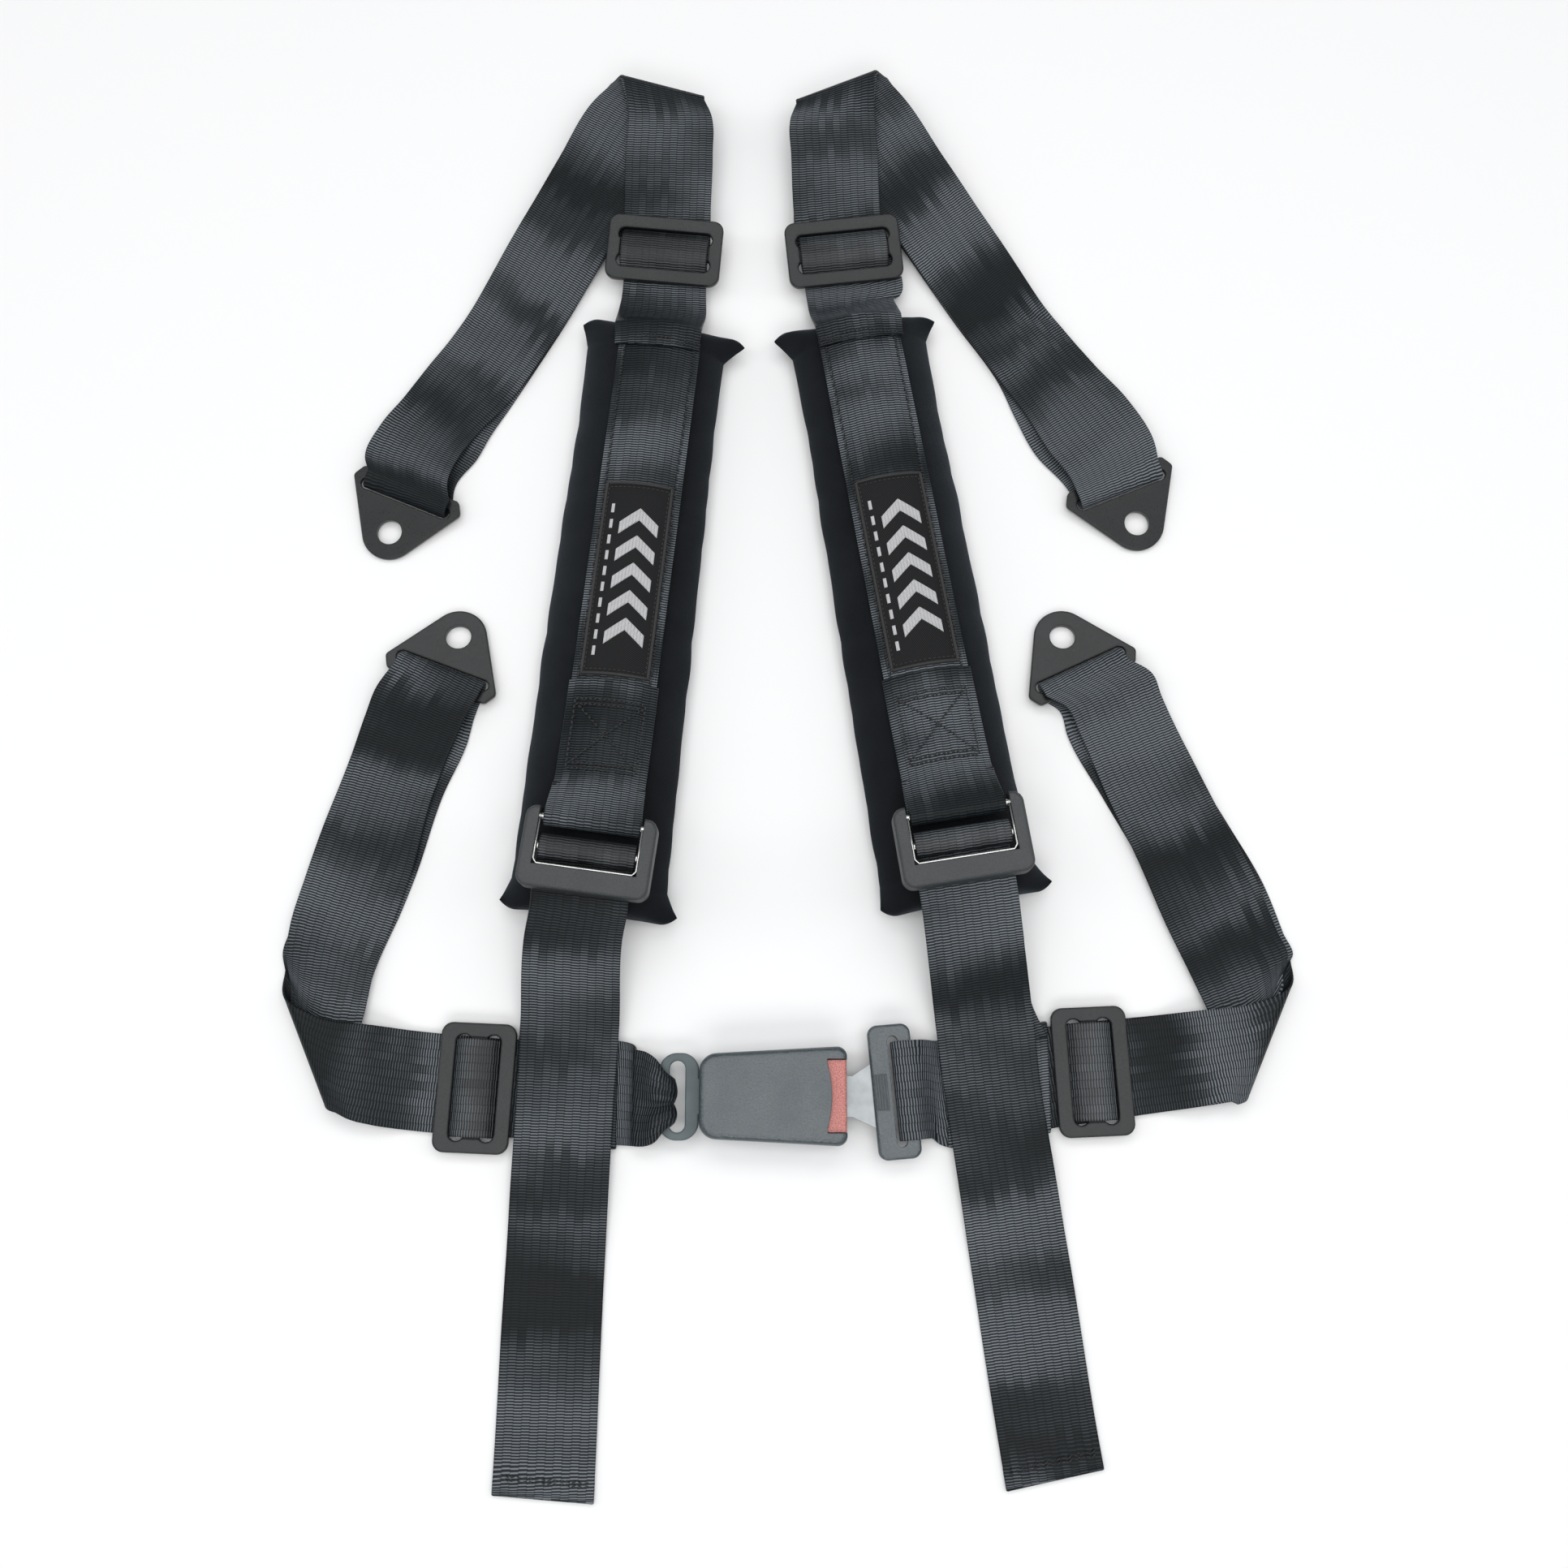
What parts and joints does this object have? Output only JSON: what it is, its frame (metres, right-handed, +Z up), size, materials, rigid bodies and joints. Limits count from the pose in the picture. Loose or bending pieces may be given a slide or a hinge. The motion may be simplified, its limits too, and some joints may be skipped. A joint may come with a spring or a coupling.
{
  "type": "racing harness",
  "caption": "Racing harness of flat webbing with padded shoulder straps, tilt-lock adjusters, a lap belt with a push-button buckle, and bolt-in brackets.",
  "frame": {"origin": "on the surface, under the middle of the laid-out harness", "axes": "+Z up, +Y towards the folds of the shoulder straps, +X towards the tongue side of the lap belt"},
  "size_m": [0.5261, 0.7892, 0.0449],
  "materials": {
    "webbing": "woven polyester webbing with a satin rib",
    "pad_velour": "short dark blue-black velour",
    "patch_twill": "dark twill with a plain silver-grey thread motif",
    "black_steel": "satin black powder coat",
    "black_plastic": "fine-grained black plastic",
    "red_plastic": "faded red plastic",
    "zinc_steel": "bright zinc plate",
    "bright_steel": "polished nickel plate",
    "grey_steel": "grey phosphated steel",
    "white_plastic": "natural acetal",
    "inner_steel": "plain bright steel"
  },
  "bodies": {
    "left_lap": {"left_lap_strap_rear": "webbing", "left_lap_strap_front": "webbing", "anchor_plate": "grey_steel", "anchor_rivet": "inner_steel", "buckle_frame": "inner_steel", "buckle_cover_upper": "black_plastic", "buckle_cover_lower": "black_plastic", "buckle_screws": "inner_steel", "button_springs": "inner_steel", "latch": "inner_steel", "ejector_spring": "inner_steel"},
    "right_lap": {"right_lap_strap_rear": "webbing", "right_lap_strap_front": "webbing", "tongue_plate": "bright_steel", "tongue_cover": "black_plastic"},
    "left_shoulder_bracket": {"left_shoulder_bracket": "black_steel"},
    "left_shoulder": {"left_shoulder_strap_rear": "webbing", "left_shoulder_strap_front": "webbing", "left_shoulder_pad": "pad_velour", "left_pad_sleeve": "webbing", "left_pad_patch": "patch_twill", "left_adjuster_loop": "webbing", "left_adjusting_strap": "webbing", "left_anchor_strap": "webbing", "left_lap_loop": "webbing"},
    "left_shoulder_slide": {"left_shoulder_slide": "black_steel", "left_shoulder_slide_webbing": "webbing"},
    "left_adjuster": {"left_adjuster_frame": "zinc_steel", "left_adjuster_cover": "black_plastic"},
    "left_adjuster_bar": {"left_adjuster_bar": "zinc_steel", "left_adjuster_bar_webbing": "webbing"},
    "right_shoulder_bracket": {"right_shoulder_bracket": "black_steel"},
    "right_shoulder": {"right_shoulder_strap_rear": "webbing", "right_shoulder_strap_front": "webbing", "right_shoulder_pad": "pad_velour", "right_pad_sleeve": "webbing", "right_pad_patch": "patch_twill", "right_adjuster_loop": "webbing", "right_adjusting_strap": "webbing", "right_anchor_strap": "webbing", "right_lap_loop": "webbing"},
    "right_shoulder_slide": {"right_shoulder_slide": "black_steel", "right_shoulder_slide_webbing": "webbing"},
    "right_adjuster": {"right_adjuster_frame": "zinc_steel", "right_adjuster_cover": "black_plastic"},
    "right_adjuster_bar": {"right_adjuster_bar": "zinc_steel", "right_adjuster_bar_webbing": "webbing"},
    "left_lap_bracket": {"left_lap_bracket": "black_steel"},
    "left_lap_slide": {"left_lap_slide": "black_steel", "left_lap_slide_webbing": "webbing"},
    "right_lap_bracket": {"right_lap_bracket": "black_steel"},
    "right_lap_slide": {"right_lap_slide": "black_steel", "right_lap_slide_webbing": "webbing"},
    "button": {"release_button": "red_plastic"},
    "ejector": {"ejector": "white_plastic"}
  },
  "joints": [
    {"name": "left_shoulder_on_belt", "type": "slide", "parent": "left_lap", "child": "left_shoulder", "axis": [0.9981, -0.0619, 0], "range_m": [0, 0.008]},
    {"name": "left_shoulder_bracket_swing", "type": "hinge", "parent": "left_shoulder", "child": "left_shoulder_bracket", "pos_m": [-0.2118, 0.1362, 0.0052], "axis": [-0.9239, 0.3827, 0], "range_deg": [0, 80]},
    {"name": "left_lap_bracket_swing", "type": "hinge", "parent": "left_lap", "child": "left_lap_bracket", "pos_m": [-0.1908, 0.0238, 0.0052], "axis": [0.9336, -0.3584, 0], "range_deg": [0, 80]},
    {"name": "left_shoulder_slide_shift", "type": "slide", "parent": "left_shoulder", "child": "left_shoulder_slide", "axis": [0.0382, 0.9927, 0.1142], "range_m": [-0.008, 0.025]},
    {"name": "left_lap_slide_shift", "type": "slide", "parent": "left_lap", "child": "left_lap_slide", "axis": [0.9981, -0.0619, 0], "range_m": [-0.012, 0]},
    {"name": "left_adjuster_tilt", "type": "hinge", "parent": "left_shoulder", "child": "left_adjuster", "pos_m": [-0.09997, -0.06195, 0.0388], "axis": [-0.9907, 0.1357, 0], "range_deg": [0, 30]},
    {"name": "left_adjuster_bar_shift", "type": "slide", "parent": "left_adjuster", "child": "left_adjuster_bar", "axis": [0.1357, 0.9907, 0], "range_m": [0, 0.004]},
    {"name": "right_shoulder_on_belt", "type": "slide", "parent": "right_lap", "child": "right_shoulder", "axis": [0.9906, 0.1367, 0], "range_m": [-0.0025, 0]},
    {"name": "right_shoulder_bracket_swing", "type": "hinge", "parent": "right_shoulder", "child": "right_shoulder_bracket", "pos_m": [0.1847, 0.1415, 0.0052], "axis": [-0.9239, -0.3827, 0], "range_deg": [0, 80]},
    {"name": "right_lap_bracket_swing", "type": "hinge", "parent": "right_lap", "child": "right_lap_bracket", "pos_m": [0.1626, 0.0246, 0.0052], "axis": [0.9063, 0.4226, 0], "range_deg": [0, 80]},
    {"name": "right_shoulder_slide_shift", "type": "slide", "parent": "right_shoulder", "child": "right_shoulder_slide", "axis": [-0.1603, 0.9806, 0.1128], "range_m": [-0.008, 0.025]},
    {"name": "right_lap_slide_shift", "type": "slide", "parent": "right_lap", "child": "right_lap_slide", "axis": [-0.9906, -0.1367, 0], "range_m": [-0.012, 0]},
    {"name": "right_adjuster_tilt", "type": "hinge", "parent": "right_shoulder", "child": "right_adjuster", "pos_m": [0.08689, -0.05534, 0.0388], "axis": [-0.9877, -0.1564, 0], "range_deg": [0, 30]},
    {"name": "right_adjuster_bar_shift", "type": "slide", "parent": "right_adjuster", "child": "right_adjuster_bar", "axis": [-0.1564, 0.9877, 0], "range_m": [0, 0.004]},
    {"name": "tongue_release", "type": "slide", "parent": "left_lap", "child": "right_lap", "axis": [1, 0, 0], "range_m": [0, 0.06], "deforming": ["latch"]},
    {"name": "button_press", "type": "slide", "parent": "left_lap", "child": "button", "axis": [-1, 0, 0], "range_m": [0, 0.004], "stiffness_N_per_m": 400, "springref_m": -0.004, "deforming": ["button_springs", "latch"]},
    {"name": "ejector_push", "type": "slide", "parent": "left_lap", "child": "ejector", "axis": [1, 0, 0], "range_m": [0, 0.0075], "deforming": ["ejector_spring"]}
  ],
  "couplings": [
    {"joint": "ejector_push", "follows": "tongue_release", "ratio": 0.125}
  ]
}
